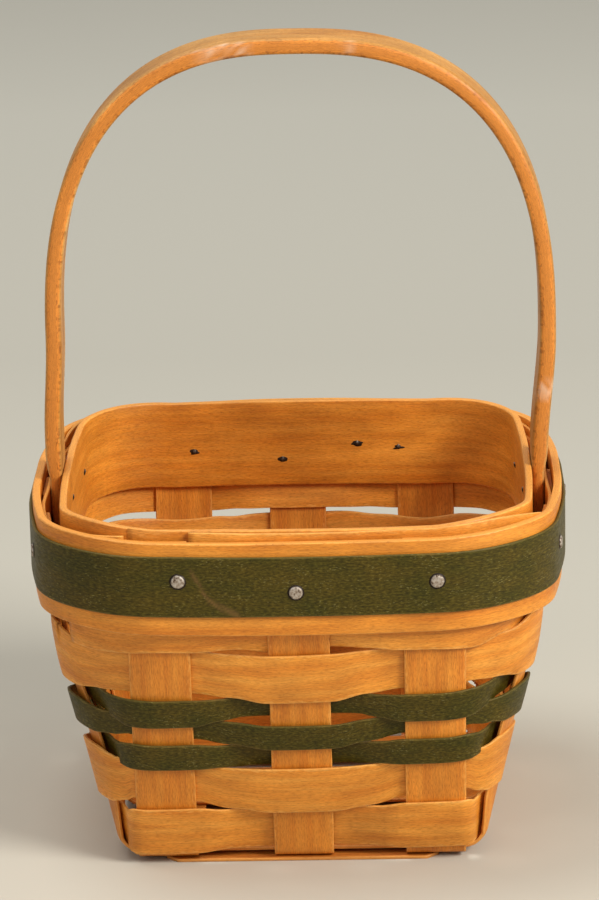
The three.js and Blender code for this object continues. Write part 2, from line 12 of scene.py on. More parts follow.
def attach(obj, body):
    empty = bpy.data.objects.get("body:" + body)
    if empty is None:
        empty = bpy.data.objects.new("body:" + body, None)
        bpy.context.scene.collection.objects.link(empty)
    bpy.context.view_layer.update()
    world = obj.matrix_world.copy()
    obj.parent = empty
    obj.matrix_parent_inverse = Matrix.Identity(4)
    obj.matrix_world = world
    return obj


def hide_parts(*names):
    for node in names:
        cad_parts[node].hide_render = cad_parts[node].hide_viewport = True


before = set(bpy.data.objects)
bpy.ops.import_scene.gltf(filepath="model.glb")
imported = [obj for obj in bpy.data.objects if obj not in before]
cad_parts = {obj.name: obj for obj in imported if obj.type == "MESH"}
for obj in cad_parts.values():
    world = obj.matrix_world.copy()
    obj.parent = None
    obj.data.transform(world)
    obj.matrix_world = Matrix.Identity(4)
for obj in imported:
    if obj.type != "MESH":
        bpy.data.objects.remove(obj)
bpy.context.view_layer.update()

mm = 0.001
quarter = math.pi / 2

# Splints
splint = 0.9 * mm
seat = 0.15 * mm
stake_width = 15.9 * mm
natural_width = 12.7 * mm
green_width = 6.7 * mm
weave_step = splint + seat

# Wall
foot_half_width = 47.3 * mm
foot_half_depth = 42.8 * mm
wall_bow_share = 0.38
rim_flat = 36 * mm
side_bow = 2 * mm
front_bow = 2.5 * mm
bow_reach = 52 * mm
corner_lift = 1 * mm
side_rounding = 13 * mm
side_stake_fan = 4.5 * mm

# Stakes
depth_stake_pitch = 35.4 * mm
width_stake_pitch = 32 * mm
front_wander = [-0.2 * mm, 0.5 * mm, 0.2 * mm]
back_wander = [1.8 * mm, -1.2 * mm, -0.2 * mm]
depth_stake_bend = 3 * mm
width_stake_bend = 5 * mm
stake_top = 95.5 * mm
side_stake_top = 92 * mm
stake_base_half = 45 * mm
stake_count = 3
front_stake_margin = 0.55 * mm
side_stake_margin = 1.55 * mm
foot_flat_front = depth_stake_pitch + stake_width / 2 + front_stake_margin
foot_flat_side = width_stake_pitch + stake_width / 2 + side_stake_margin

# Sides are numbered from the front anticlockwise, and the uprights from the front's left one
upright_count = 4 * stake_count
front_left, front_middle, front_right = 0, 1, 2
right_front, right_back = 3, 5
back_right, back_left = 6, 8
left_front = 11

# Rim
inner_band_half_width = 60.8 * mm
inner_band_half_depth = 58.8 * mm
inner_band_thickness = 2 * mm
inner_band_bottom = 72.9 * mm
inner_band_height = 24.8 * mm
outer_band_thickness = 2.2 * mm
outer_band_bottom = 70.8 * mm
outer_band_height = 24.9 * mm
trim_thickness = 0.8 * mm
trim_bottom = 76.2 * mm
trim_height = 16.1 * mm
band_lap = 34 * mm
trim_lap = 14 * mm
inner_band_lap_place = -26 * mm
inner_band_tip = 0.03 * mm
outer_band_tip = 0.5 * mm
trim_tip = 0.25 * mm
inner_band_round = 0.5 * mm
outer_band_round = 0.4 * mm
trim_round = 0.25 * mm
rim_half_width = inner_band_half_width + inner_band_thickness + seat + splint + seat / 2
rim_half_depth = inner_band_half_depth + inner_band_thickness + seat + splint + seat / 2
rim_corner = rim_half_depth - front_bow - rim_flat
trim_middle = trim_bottom + trim_height / 2

# Insides of the bands, out from the middle of the weave
inner_band_inside = -inner_band_thickness - seat - splint / 2 - weave_step / 2
outer_band_inside = weave_step / 2 + splint / 2 + seat
trim_inside = outer_band_inside + outer_band_thickness + seat

# How far the lower and the upper edge drop at the corners
outer_band_drops = (0.7 * mm, 0.6 * mm)
trim_drops = (1 * mm, 0.9 * mm)

# Handle
handle_width = 15.6 * mm
handle_thickness = 4.3 * mm
handle_foot_thickness = 3.3 * mm
handle_foot = 77 * mm
handle_swell = 7 * mm
handle_left_start = 108 * mm
handle_right_start = 100 * mm
handle_spring = 134 * mm
handle_top = 214.8 * mm
handle_left_reach = 63.9 * mm
handle_right_reach = 67.4 * mm
handle_left_curve = 2.5
handle_right_curve = 2.6
handle_spread = handle_foot_thickness + seat
arch_steps = 60

# Bare spots on the handle, as (across, height, half length)
handle_scuffs = [
    (-17 * mm, 212 * mm, 8 * mm),
    (67 * mm, 119 * mm, 3.5 * mm),
    (16 * mm, 212 * mm, 2 * mm),
]

# Nails
nail_head_radius = 1.9 * mm
nail_head_height = 0.7 * mm
nail_radius = 0.55 * mm
stain_radius = 1.1 * mm
stain_stretch = 1.4

# Camera
camera_place = (20.3 * mm, -1091.2 * mm, 429.2 * mm)
camera_pitch = 0.2922
camera_yaw = -0.01796
camera_roll = -0.02144
camera_lens = 169.3
camera_sensor = 36

# Nails, as (X, or distance along a side wall, and rise above the middle of the trim strip)
front_nails = [(-30 * mm, 1.6 * mm), (0.2 * mm, -1.5 * mm), (36.4 * mm, 0.6 * mm)]
back_nails = [(-30.6 * mm, -1 * mm), (-5.1 * mm, -3.8 * mm), (16.3 * mm, 0.6 * mm), (28.2 * mm, -0.5 * mm)]
side_nails = [(-35.2 * mm, 1 * mm), (0, 4.2 * mm), (35.2 * mm, 1 * mm)]

# Brown scratch on the trim strip, as (distance from the front's middle, height), and its width
scuff_line = [
    (-27.5 * mm, 90 * mm),
    (-24.3 * mm, 84.6 * mm),
    (-22.4 * mm, 80.8 * mm),
    (-17.3 * mm, 78 * mm),
    (-13.5 * mm, 76.2 * mm),
]
scuff_width = 1.7 * mm
scuff_steps = 24

# Base fillers
filler_width = 14.6 * mm
filler_half = 46 * mm
edge_filler_width = 5.6 * mm
edge_filler_half = 36.3 * mm
edge_filler_reach = 44 * mm
corner_clip = 3 * mm
clip_share = 0.55

# Step along a strip, rounding of its edges, and how far in from them they are pale, from wear and a
# painted highlight
fine_step = 1.6 * mm
edge_round = 0.28 * mm
handle_edge = 1.3 * mm
wear_and_highlight_reach = 0.5 * mm

# How the rows lie: a row's ends pass their uprights by the lap, or by less where the rim clamps them
row_lap = 1.5 * mm
row_lead = 5 * mm
clamped_row_lead = 19 * mm
clamped_row_tail = 0.5 * mm
upright_ease = 0.3 * mm
row_slack = 0.25 * mm
row_tilt = 0.014
corner_row_reach = 27 * mm
clamped_row_drop = 1.8 * mm
clamped_row_poke = 0.7 * mm
top_row_rises = [1.5 * mm, -2.4 * mm, 1.3 * mm, -2.4 * mm]
back_left_dip = 1.6 * mm
back_right_dip = 3.0 * mm
back_right_rise = 0.7 * mm
middle_sag = 2 * mm
sag_end = stake_width / 4
dive_share = 0.92

# Unevenness of the strips, and the run over which it changes
stake_uneven, stake_uneven_run = 0.12 * mm, 23 * mm
row_uneven, row_low_run, row_high_run = 0.22 * mm, 17 * mm, 19 * mm
band_uneven, band_uneven_run = 0.12 * mm, 31 * mm
band_wave, band_wave_run = 0.15 * mm, 37 * mm
handle_uneven, handle_uneven_run = 0.1 * mm, 40 * mm

# Floor and lamps, in metres
floor_half = 30
lamps_aim = (0, 0, 0.08)

# Steps of the table of corner lengths
table_step = 0.5 * mm
table_count = 24

travel = [(1, 0), (0, 1), (-1, 0), (0, -1)]
outward = [(0, -1), (1, 0), (0, 1), (-1, 0)]


def clamp(value, low, high):
    return min(max(value, low), high)


def smooth(value):
    share = clamp(value, 0, 1)
    return share * share * (3 - 2 * share)


def mix(start, end, share):
    return start + (end - start) * share


def wander(place, seed, size):
    """Smooth noise of about one at most, that changes over the given size."""
    return noise.noise(Vector((place / size, seed * 7.31, seed * 3.17)))


# Rows, in millimetres. Outside an upright a row shows from the low to the high "seen" edge.
# The pairs are for the left and right front corners, and the tuck takes a row further inside.

rows = [
    {"bottom": 4.2, "lap_stake": 8, "seen": (3.5, 17.9), "tuck": 0.7},
    {"bottom": 17.3, "lap_stake": 5, "seen": (16.0, 29.9), "inner_rise": 2.0, "corner_rise": 2.3,
     "low_corners": (0.4, 0.2), "high_corners": (2.2, 1.4), "slack": (0.7, -0.4)},
    {"bottom": 30.4, "lap_stake": 10, "seen": (30.2, 37.9), "tuck": 1.0},
    {"bottom": 37.5, "lap_stake": 7, "seen": (35.8, 43.1), "inner_rise": 0.3, "corner_rise": 1.5,
     "low_corners": (1.7, 0.7), "high_corners": (3.2, 2.6), "slack": (1.2, 0.5)},
    {"bottom": 44.6, "lap_stake": 4, "seen": (43.2, 51.2), "tuck": 0.9},
    {"bottom": 51.7, "lap_stake": 9, "seen": (50.0, 64.1), "corner_rise": 0.3,
     "low_corners": (1.1, 0.5), "high_corners": (4.4, 6.2), "slack": (1.3, 0.8)},
    {"bottom": 65.6, "lap_stake": 0, "seen": (65.0, 78.3)},
    {"bottom": 83.4, "lap_stake": 0, "seen": (83.4, 96.1)},
]
green_rows = (3, 4, 5)
for i, row in enumerate(rows):
    row["number"] = i + 1
    width = green_width if row["number"] in green_rows else natural_width
    row["bottom"] *= mm
    row["top"] = row["bottom"] + width
    row["level"] = mix(row["bottom"], row["top"], 0.5)
    row["seen"] = [height * mm for height in row["seen"]]
    for word in ("tuck", "inner_rise", "corner_rise"):
        row[word] = row.get(word, 0) * mm
    for word in ("low_corners", "high_corners", "slack"):
        row[word] = [value * mm for value in row.get(word, (0, 0))]
sixth_row = rows[5]["bottom"]
clamped_row = rows[6]["bottom"]
clamped_row_top = rows[6]["top"]
top_row_bottom = rows[7]["bottom"]
top_row_top = rows[7]["top"]


# The wall's outline, as in the CAD but with round corners


def wall_share(height):
    share = clamp(height / inner_band_bottom, 0, 1)
    return share + wall_bow_share * share * (1 - share)


def wall_reach(side, height):
    foot = foot_half_width if side % 2 else foot_half_depth
    rim = rim_half_width if side % 2 else rim_half_depth
    return mix(foot, rim, wall_share(height))


def belly(height):
    """From 0 at the base and the rim to 1 about half way up, where the corners are roundest."""
    return math.sin(2 * quarter * wall_share(height))


def flat_half(side, height):
    straight = mix(foot_flat_side if side % 2 else foot_flat_front, rim_flat, wall_share(height))
    return straight - side_rounding * belly(height) if side % 2 else straight


def bow(side, height):
    if side % 2 == 0:
        return front_bow * wall_share(height)
    return side_bow * smooth((height - sixth_row) / (inner_band_bottom - sixth_row))


def handle_rise(height):
    return smooth((height - clamped_row) / (mix(top_row_bottom, stake_top, 0.5) - clamped_row))


def clamp_share(height):
    return clamp((height - clamped_row) / (inner_band_bottom - clamped_row), 0, 1)


# An outline is the height at which the wall is taken, and the share of the bulge over the handle's foot
wall = (lambda height: height, handle_rise)
rim = (lambda height: inner_band_bottom, lambda height: 1)
inner_rim = (lambda height: inner_band_bottom, lambda height: 0)


def bulge(outline, side, distance, height):
    level, rise = outline
    beyond = max(distance - handle_width / 2, 0)
    share = clamp(1 - (beyond / bow_reach) ** 2, 0, 1)
    pushed = handle_spread * rise(height) if side % 2 else 0
    return (bow(side, level(height)) + pushed) * share * share


def outline_point(outline, place, height, offset):
    side, share, turn = place
    level = outline[0](height)
    flat = flat_half(side, level)
    next_flat = flat_half(side + 1, level)
    distance = abs(share) * flat + turn * rim_corner
    out = offset + bulge(outline, side, distance, height)
    if turn > 0:
        out += bulge(outline, side + 1, next_flat + (quarter - turn) * rim_corner, height)
    radius = wall_reach(side, level) - bow(side, level) - next_flat + out
    next_radius = wall_reach(side + 1, level) - bow(side + 1, level) - flat + out
    reach = next_flat + radius * math.cos(turn)
    along = share * flat + next_radius * math.sin(turn)
    lift = corner_lift * wall_share(level) * math.sin(2 * turn)
    away, on = outward[side], travel[side]
    return (away[0] * reach + on[0] * along, away[1] * reach + on[1] * along, height + lift)


@functools.lru_cache(maxsize=None)
def corner_table(odd, step):
    """Distances along a corner, from the end of a side, at equal turns."""
    height = step * table_step
    along = wall_reach(1 + odd, height) - bow(1 + odd, height) - flat_half(odd, height)
    reach = wall_reach(odd, height) - bow(odd, height) - flat_half(1 + odd, height)
    distances = [0]
    for i in range(table_count):
        turn = quarter * (i + 0.5) / table_count
        step_length = quarter / table_count * math.hypot(along * math.cos(turn), reach * math.sin(turn))
        distances.append(distances[-1] + step_length)
    return distances


def corner_length(height):
    return corner_table(0, round(height / table_step))[-1]


def turn_at(side, height, distance):
    """How far a corner has turned at a distance from the end of the side before it."""
    distances = corner_table(side % 2, round(height / table_step))
    reached = clamp(distance / distances[-1], 0, 1) * distances[-1]
    return quarter * float(np.interp(reached, distances, range(table_count + 1))) / table_count


def side_run(side, height):
    return 2 * flat_half(side, height) + corner_length(height)


def half_run(height):
    return side_run(0, height) + side_run(1, height)


def run_of(height, side, along):
    before = (side // 2) * half_run(height) + (side_run(0, height) if side % 2 else 0)
    return before + flat_half(side, height) + along


def side_at(height, run):
    """The side that a run round the wall is on, or in the corner after, and how far from its middle."""
    halves = math.floor(run / half_run(height))
    in_half = run - halves * half_run(height)
    first = in_half < side_run(0, height)
    side = (2 * (halves % 2) + (0 if first else 1)) % 4
    rest = in_half if first else in_half - side_run(0, height)
    return side, rest - flat_half(side, height)


def place_on(side, distance, height):
    """The place at a distance from a side's middle, which may lie in the corner at either end."""
    flat = flat_half(side, height)
    if abs(distance) <= flat:
        return (side % 4, distance / flat, 0)
    if distance > 0:
        return (side % 4, 1, turn_at(side, height, distance - flat))
    return ((side + 3) % 4, 1, turn_at(side + 3, height, corner_length(height) + flat + distance))


def place_at(height, run):
    side, distance = side_at(height, run)
    return place_on(side, distance, height)


def outer_pitch(side, height):
    """Distance from a side's middle to its outer uprights."""
    if side % 2 == 0:
        return depth_stake_pitch
    return width_stake_pitch + side_stake_fan * belly(height)


def place_beside(level, height, run):
    """The place at another height that keeps its distance from the nearest upright."""
    side, distance = side_at(level, run)
    half = stake_width / 2
    edge = outer_pitch(side, level) + half
    if distance <= edge:
        share = smooth((abs(distance) - half) / (outer_pitch(side, level) - 2 * half))
        shift = (outer_pitch(side, height) - outer_pitch(side, level)) * share
        return place_on(side, distance + math.copysign(shift, distance), height)

    def between(at):
        far = flat_half(side, at) + corner_length(at) + flat_half(side + 1, at)
        return outer_pitch(side, at) + half, far - outer_pitch(side + 1, at) - half

    low, high = between(level)
    low_here, high_here = between(height)
    return place_on(side, mix(low_here, high_here, (distance - low) / (high - low)), height)


# Meshes


def new_piece(name, rings, grain, edges, marks, material):
    """A closed tube of rings that stands for its CAD node, with grain, edges pale from wear and painted
    highlight, and stains at each point.
    """
    verts, faces = loft(rings)
    mesh = bpy.data.meshes.new(name)
    mesh.from_pydata(verts, [], flipped_outward(verts, faces))
    mesh.update()
    attribute = mesh.attributes.new("grain", "FLOAT_VECTOR", "POINT")
    attribute.data.foreach_set("vector", np.array(grain, np.float32).ravel())
    for word, values in (("edge", edges), ("mark", marks)):
        layer = mesh.attributes.new(word, "FLOAT", "POINT")
        layer.data.foreach_set("value", np.array(values, np.float32))
    mesh.polygons.foreach_set("use_smooth", [True] * (len(mesh.polygons) - 2) + [False, False])
    mesh.materials.append(material)
    piece = bpy.data.objects.new(name + ".look", mesh)
    bpy.context.scene.collection.objects.link(piece)
    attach(piece, "root")
    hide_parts(name)


def strip_profile(half_width, half_thickness, rounding, steps):
    """Points round a strip's cut, as (across, out), anticlockwise from the lower outer edge."""
    rounding = min(rounding, half_thickness * 0.9)
    flat = half_width - rounding
    deep = half_thickness - rounding
    arc = [(flat + rounding * math.sin(a), rounding * math.cos(a)) for a in (quarter / 3, quarter * 2 / 3)]
    half = [(mix(-flat, flat, i / steps), half_thickness) for i in range(steps + 1)]
    half += [(x, deep + y) for x, y in arc]
    half += [(half_width, deep), (half_width, -deep)]
    half += [(x, -deep - y) for x, y in reversed(arc)]
    return half + [(-x, -y) for x, y in half]


def loft(rings):
    """Faces of a tube of equal rings with closed ends."""
    count = len(rings[0])
    faces = []
    for i in range(len(rings) - 1):
        for k in range(count):
            n = (k + 1) % count
            faces.append((i * count + k, (i + 1) * count + k, (i + 1) * count + n, i * count + n))
    last = (len(rings) - 1) * count
    faces.append(tuple(range(count)))
    faces.append(tuple(last + k for k in reversed(range(count))))
    return [vert for ring in rings for vert in ring], faces


def flipped_outward(verts, faces):
    """The same faces, turned round if they enclose a negative volume."""
    volume = 0
    for face in faces:
        a = Vector(verts[face[0]])
        for i in range(1, len(face) - 1):
            volume += a.dot(Vector(verts[face[i]]).cross(Vector(verts[face[i + 1]])))
    if volume < 0:
        return [tuple(reversed(face)) for face in faces]
    return faces


def fine_stations(start, end, extra=()):
    """Places from start to end about one fine step apart, with the extra ones among them."""
    count = max(math.ceil((end - start) / fine_step), 2)
    places = [mix(start, end, i / count) for i in range(count + 1)]
    for place in extra:
        if start < place < end and min(abs(place - other) for other in places) > fine_step / 8:
            places.append(place)
    return sorted(places)


def no_mark(t, x, y):
    return 0


def strip_piece(name, stations, shape, point, seed, material, rounding=edge_round, mark=no_mark,
                steps=8):
    """A strip: shape(t) is half its width and thickness at t, and point(t, across, out) a point of it."""
    rings, grain, edges, marks = [], [], [], []
    for t in stations:
        half_width, half_thickness = shape(t)
        ring = []
        for x, y in strip_profile(half_width, half_thickness, rounding, steps):
            ring.append(point(t, x, y))
            marks.append(mark(t, x, y))
            grain.append((t, x + y, seed + (0.5 if y < 0 else 0)))
            edges.append(clamp(1 - (half_width - abs(x)) / wear_and_highlight_reach, 0, 1))
        rings.append(ring)
    new_piece(name, rings, grain, edges, marks, material)


# Materials


def srgb(red, green, blue):
    def linear(value):
        value /= 255
        return value / 12.92 if value <= 0.04045 else ((value + 0.055) / 1.055) ** 2.4

    return (linear(red), linear(green), linear(blue), 1)


def new_material(name):
    material = bpy.data.materials.new(name)
    material.use_nodes = True
    tree = material.node_tree
    return material, tree, tree.nodes["Principled BSDF"]


def set_inputs(node, **values):
    for word, value in values.items():
        node.inputs[word.replace("_", " ")].default_value = value


def noise_over(tree, place, stretch, scale, detail):
    scaled = tree.nodes.new("ShaderNodeVectorMath")
    scaled.operation = "MULTIPLY"
    scaled.inputs[1].default_value = stretch
    tree.links.new(place, scaled.inputs[0])
    texture = tree.nodes.new("ShaderNodeTexNoise")
    set_inputs(texture, Scale=scale, Detail=detail)
    tree.links.new(scaled.outputs[0], texture.inputs["Vector"])
    return texture.outputs["Fac"]


def grain_noise(tree, along, across, depth=1, detail=3):
    """Noise whose features are the given sizes along and across the grain."""
    place = tree.nodes.new("ShaderNodeAttribute")
    place.attribute_name = "grain"
    return noise_over(tree, place.outputs["Vector"], (1 / along, 1 / across, 37 * depth), 1, detail)


def ramp(tree, value, stops):
    """A colour ramp of (position, colour) stops."""
    node = tree.nodes.new("ShaderNodeValToRGB")
    elements = node.color_ramp.elements
    while len(elements) < len(stops):
        elements.new(0.5)
    for element, (position, colour) in zip(elements, stops):
        element.position = position
        element.color = colour
    tree.links.new(value, node.inputs["Fac"])
    return node.outputs["Color"]


def blend_colours(tree, share, first, second, mode="MIX"):
    node = tree.nodes.new("ShaderNodeMix")
    node.data_type = "RGBA"
    node.blend_type = mode
    if isinstance(share, float):
        node.inputs["Factor"].default_value = share
    else:
        tree.links.new(share, node.inputs["Factor"])
    for socket, colour in ((node.inputs["A"], first), (node.inputs["B"], second)):
        if isinstance(colour, tuple):
            socket.default_value = colour
        else:
            tree.links.new(colour, socket)
    return node.outputs["Result"]


def math_node(tree, operation, first, second):
    node = tree.nodes.new("ShaderNodeMath")
    node.operation = operation
    for socket, value in ((node.inputs[0], first), (node.inputs[1], second)):
        if isinstance(value, (int, float)):
            socket.default_value = value
        else:
            tree.links.new(value, socket)
    return node.outputs[0]


black = (0, 0, 0, 1)
white = (1, 1, 1, 1)


def grey(value):
    return (value, value, value, 1)


def toned(tree, colour, value, stops):
    """The colour times a ramp of the value."""
    return blend_colours(tree, 1.0, colour, ramp(tree, value, stops), "MULTIPLY")


def add_relief(tree, shader, height, distance):
    bump = tree.nodes.new("ShaderNodeBump")
    set_inputs(bump, Strength=0.6, Distance=distance)
    tree.links.new(height, bump.inputs["Height"])
    tree.links.new(bump.outputs["Normal"], shader.inputs["Normal"])


def attribute_value(tree, name):
    node = tree.nodes.new("ShaderNodeAttribute")
    node.attribute_name = name
    return node.outputs["Fac"]


def worn_and_highlit_edges(tree, colour, worn_and_highlit_colour, worn_and_highlit_share):
    """The colour with ragged pale edges, partly wear and partly a painted highlight."""
    ragged = grain_noise(tree, 2.2 * mm, 0.7 * mm, 6, 3)
    worn_and_highlit = math_node(tree, "ADD", attribute_value(tree, "edge"), ragged)
    worn_and_highlit = ramp(tree, worn_and_highlit, [(0.84, black), (1.0, grey(worn_and_highlit_share))])
    return blend_colours(tree, worn_and_highlit, colour, worn_and_highlit_colour)


def finish_wood(tree, shader, colour, height, stain, gloss):
    """Stains, uneven gloss and relief, the same way for plain and dyed wood."""
    colour = blend_colours(tree, attribute_value(tree, "mark"), colour, stain)
    tree.links.new(colour, shader.inputs["Base Color"])
    uneven = grain_noise(tree, 3 * mm, 0.9 * mm, 8, 2)
    rough = ramp(tree, uneven, [(0.3, grey(0.58)), (0.7, grey(0.42))])
    tree.links.new(rough, shader.inputs["Roughness"])
    set_inputs(shader, Specular_IOR_Level=gloss)
    add_relief(tree, shader, height, 0.07 * mm)


def splint_wood(name, pale, honey, brown, worn_and_highlit, worn_and_highlit_share, pores=0.5, pore_limit=0.68,
                stain=srgb(58, 28, 10)):
    """Thin maple: fine fibres, short darker dashes, pores, and slow changes of tone."""
    material, tree, shader = new_material(name)
    fibre = grain_noise(tree, 9 * mm, 0.5 * mm)
    dash = grain_noise(tree, 1.5 * mm, 0.26 * mm, 2, 2)
    figure = grain_noise(tree, 34 * mm, 3 * mm, 3, 3)
    blotch = grain_noise(tree, 14 * mm, 9 * mm, 4, 2)
    fleck = grain_noise(tree, 1.1 * mm, 0.22 * mm, 5, 1)
    colour = ramp(tree, figure, [(0.3, brown), (0.5, honey), (0.72, pale)])
    # Pale edges: wear, and a painted highlight along every edge
    colour = worn_and_highlit_edges(tree, colour, worn_and_highlit, worn_and_highlit_share)
    colour = toned(tree, colour, fibre, [(0.3, grey(0.88)), (0.7, grey(1.1))])
    dash_tones = [(0.32, (0.8, 0.75, 0.66, 1)), (0.5, white), (0.7, (1.1, 1.12, 1.2, 1))]
    colour = toned(tree, colour, dash, dash_tones)
    colour = toned(tree, colour, blotch, [(0.3, (0.84, 0.8, 0.74, 1)), (0.7, (1.12, 1.12, 1.14, 1))])
    spots = ramp(tree, fleck, [(pore_limit, black), (pore_limit + 0.08, grey(pores))])
    colour = blend_colours(tree, spots, colour, srgb(112, 50, 8))
    height = math_node(tree, "ADD", math_node(tree, "MULTIPLY", fibre, 0.6), dash)
    finish_wood(tree, shader, colour, height, stain, 0.4)
    return material


def dyed_wood(name):
    """Splint stained dark olive: a fine speckle of dye over the grain, pale fibres, and edges pale from
    wear and a painted highlight.
    """
    material, tree, shader = new_material(name)
    speckle = grain_noise(tree, 1.1 * mm, 0.42 * mm, 1, 3)
    fibre = grain_noise(tree, 7 * mm, 0.5 * mm, 2, 2)
    blotch = grain_noise(tree, 12 * mm, 7 * mm, 3, 2)
    dust = grain_noise(tree, 0.9 * mm, 0.3 * mm, 4, 1)
    patch = grain_noise(tree, 7 * mm, 3 * mm, 7, 2)
    tones = [(0.3, srgb(47, 40, 3)), (0.5, srgb(64, 55, 6)), (0.72, srgb(88, 77, 22))]
    colour = ramp(tree, speckle, tones)
    # Pale edges: wear, and a painted highlight along every edge
    colour = worn_and_highlit_edges(tree, colour, srgb(132, 112, 58), 0.3)
    colour = toned(tree, colour, fibre, [(0.3, grey(0.86)), (0.7, grey(1.12))])
    colour = toned(tree, colour, blotch, [(0.32, (0.78, 0.86, 0.8, 1)), (0.68, (1.22, 1.1, 1.1, 1))])
    dust = math_node(tree, "ADD", dust, math_node(tree, "MULTIPLY", patch, 0.5))
    pale = ramp(tree, dust, [(0.93, black), (1.08, grey(0.32))])
    colour = blend_colours(tree, pale, colour, srgb(160, 150, 92))
    height = math_node(tree, "ADD", speckle, fibre)
    finish_wood(tree, shader, colour, height, srgb(112, 82, 44), 0.2)
    return material


def make_materials():
    # The pale edge colours stand for wear and for a painted highlight along the edges
    worn_and_highlit = srgb(232, 172, 88)
    rows_look = (srgb(224, 152, 58), srgb(214, 137, 44), srgb(204, 122, 32))
    stakes_look = (srgb(217, 139, 46), srgb(206, 126, 36), srgb(196, 112, 26))
    band_look = (srgb(220, 144, 50), srgb(210, 131, 38), srgb(199, 116, 27))
    handle_look = (srgb(205, 156, 88), srgb(194, 138, 64), srgb(180, 117, 44))
    handle_edges = srgb(214, 132, 46)
    handle_bare = srgb(240, 214, 186)
    filler_look = (srgb(206, 136, 54), srgb(184, 108, 34), srgb(150, 78, 18))
    return {
        "stake": splint_wood("stake wood", *stakes_look, worn_and_highlit, 0.35),
        "row": splint_wood("row wood", *rows_look, worn_and_highlit, 0.5),
        "filler": splint_wood("filler wood", *filler_look, worn_and_highlit, 0.3, 0.8),
        "band": splint_wood("band wood", *band_look, srgb(236, 170, 84), 0.5),
        "handle": splint_wood("handle wood", *handle_look, handle_edges, 0.9, 0.45, 0.55, handle_bare),
        "green": dyed_wood("green wood"),
        "nail": nail_steel(),
    }


def nail_steel():
    """Dull grey steel with scratches, pits and brown spots, dark brown where marked: rust and torn wood at
    the tip, painted shade at the collar under the head.
    """
    material, tree, shader = new_material("nail steel")
    place = tree.nodes.new("ShaderNodeNewGeometry")
    pits = noise_over(tree, place.outputs["Position"], (1 / mm, 1 / mm, 1 / mm), 1.3, 4)
    tones = [(0.36, srgb(84, 66, 50)), (0.46, srgb(152, 136, 120)), (0.7, srgb(188, 180, 168))]
    colour = ramp(tree, pits, tones)
    # Marked places turn dark brown: rust and torn wood round the tip, and painted shade in the collar
    # under the head
    colour = blend_colours(tree, attribute_value(tree, "mark"), colour, srgb(40, 26, 14))
    tree.links.new(colour, shader.inputs["Base Color"])
    set_inputs(shader, Metallic=0.45, Roughness=0.5)
    add_relief(tree, shader, pits, 0.15 * mm)
    return material


# Uprights


def passing(row_number, number):
    return 1 if (row_number + number) % 2 else -1


def stake_along(number, height):
    side = number // stake_count
    step = number % stake_count - 1
    if side == 0:
        return step * depth_stake_pitch + front_wander[step + 1]
    if side == 2:
        return step * depth_stake_pitch - back_wander[1 - step]
    return step * outer_pitch(side, height)


def stake_shift(number, height):
    low = -passing(7, number) * weave_step / 2
    high = -passing(8, number) * weave_step / 2
    share = clamp((height - clamped_row_top) / (top_row_bottom - clamped_row_top), 0, 1)
    return clamp_share(height) * mix(low, high, share)


def stake_end(number, floor, bend, tip):
    """Half of a stake, as (distance, point function) from the base's flat to the tip."""
    side = number // stake_count

    def slope_at(height):
        step = splint / 4
        return math.atan2(wall_reach(side, height + step) - wall_reach(side, height - step), 2 * step)

    join = floor + bend
    for _ in range(4):
        join = floor + bend * (1 - math.sin(slope_at(join)))
    slope = slope_at(join)
    away, on = outward[side], travel[side]

    def wall_point(height, x, y):
        lean = slope_at(height) if height < clamped_row else 0
        shift = stake_shift(number, height) + y * math.cos(lean)
        spot = place_on(side, stake_along(number, height) + x, height)
        point = outline_point(wall, spot, height, shift)
        return (point[0], point[1], height - y * math.sin(lean))

    def bend_point(angle, x, y):
        foot = wall_point(join, x, 0)
        reach = foot[0] * away[0] + foot[1] * away[1] - bend * (math.cos(slope) - math.sin(angle))
        reach += y * math.sin(angle)
        height = floor + bend * (1 - math.cos(angle)) - y * math.cos(angle)
        along = foot[0] * on[0] + foot[1] * on[1]
        return (on[0] * along + away[0] * reach, on[1] * along + away[1] * reach, height)

    stations = []
    bend_count = 8
    for i in range(bend_count):
        angle = (quarter - slope) * i / bend_count
        stations.append((bend * angle, lambda x, y, a=angle: bend_point(a, x, y)))
    start = bend * (quarter - slope)
    for height in fine_stations(join, tip):
        stations.append((start + height - join, lambda x, y, h=height: wall_point(h, x, y)))
    return stations


def stake_piece(name, first, last, floor, bend, tip, seed, material):
    first_end = [(-distance, -1, point) for distance, point in stake_end(first, floor, bend, tip)]
    last_end = [(distance, 1, point) for distance, point in stake_end(last, floor, bend, tip)]
    base = stake_base_half
    stations = {}
    for distance, sign, point in reversed(first_end):
        stations[distance - base] = (sign, point)
    for distance, sign, point in last_end:
        stations[distance + base] = (sign, point)

    def shape(t):
        uneven = stake_uneven * wander(t, seed, stake_uneven_run)
        return stake_width / 2 + uneven, splint / 2

    def place(t, x, y):
        sign, point = stations[t]
        return point(-x * sign, y)

    strip_piece(name, sorted(stations), shape, place, seed, material)


def make_stakes(material):
    depth_floor = splint / 2 + weave_step
    depth_shape = (depth_floor, depth_stake_bend, stake_top)
    width_shape = (depth_floor + weave_step, width_stake_bend, side_stake_top)
    for i, word in enumerate(("left", "middle", "right")):
        stake_piece(f"stake_{word}", i, back_left - i, *depth_shape, 11 + 3 * i, material)
    for i, word in enumerate(("front", "middle", "back")):
        first, last = right_front + i, left_front - i
        stake_piece(f"cross_stake_{word}", first, last, *width_shape, 31 + 3 * i, material)


# Woven rows


def upright_run(level, number):
    return run_of(level, number // stake_count, stake_along(number, level))


def row_zones(row):
    level = row["level"]
    zones = []
    for step in range(upright_count + 1):
        laps, number = divmod(row["lap_stake"] + step, upright_count)
        middle = upright_run(level, number) + 2 * laps * half_run(level)
        half = stake_width / 2 + upright_ease
        side = -1 if step == upright_count else passing(row["number"], number)
        tucked = row["tuck"] if side < 0 and number % 2 == 1 else 0
        zones.append((middle - half, middle + half, side * weave_step - tucked))
    return zones


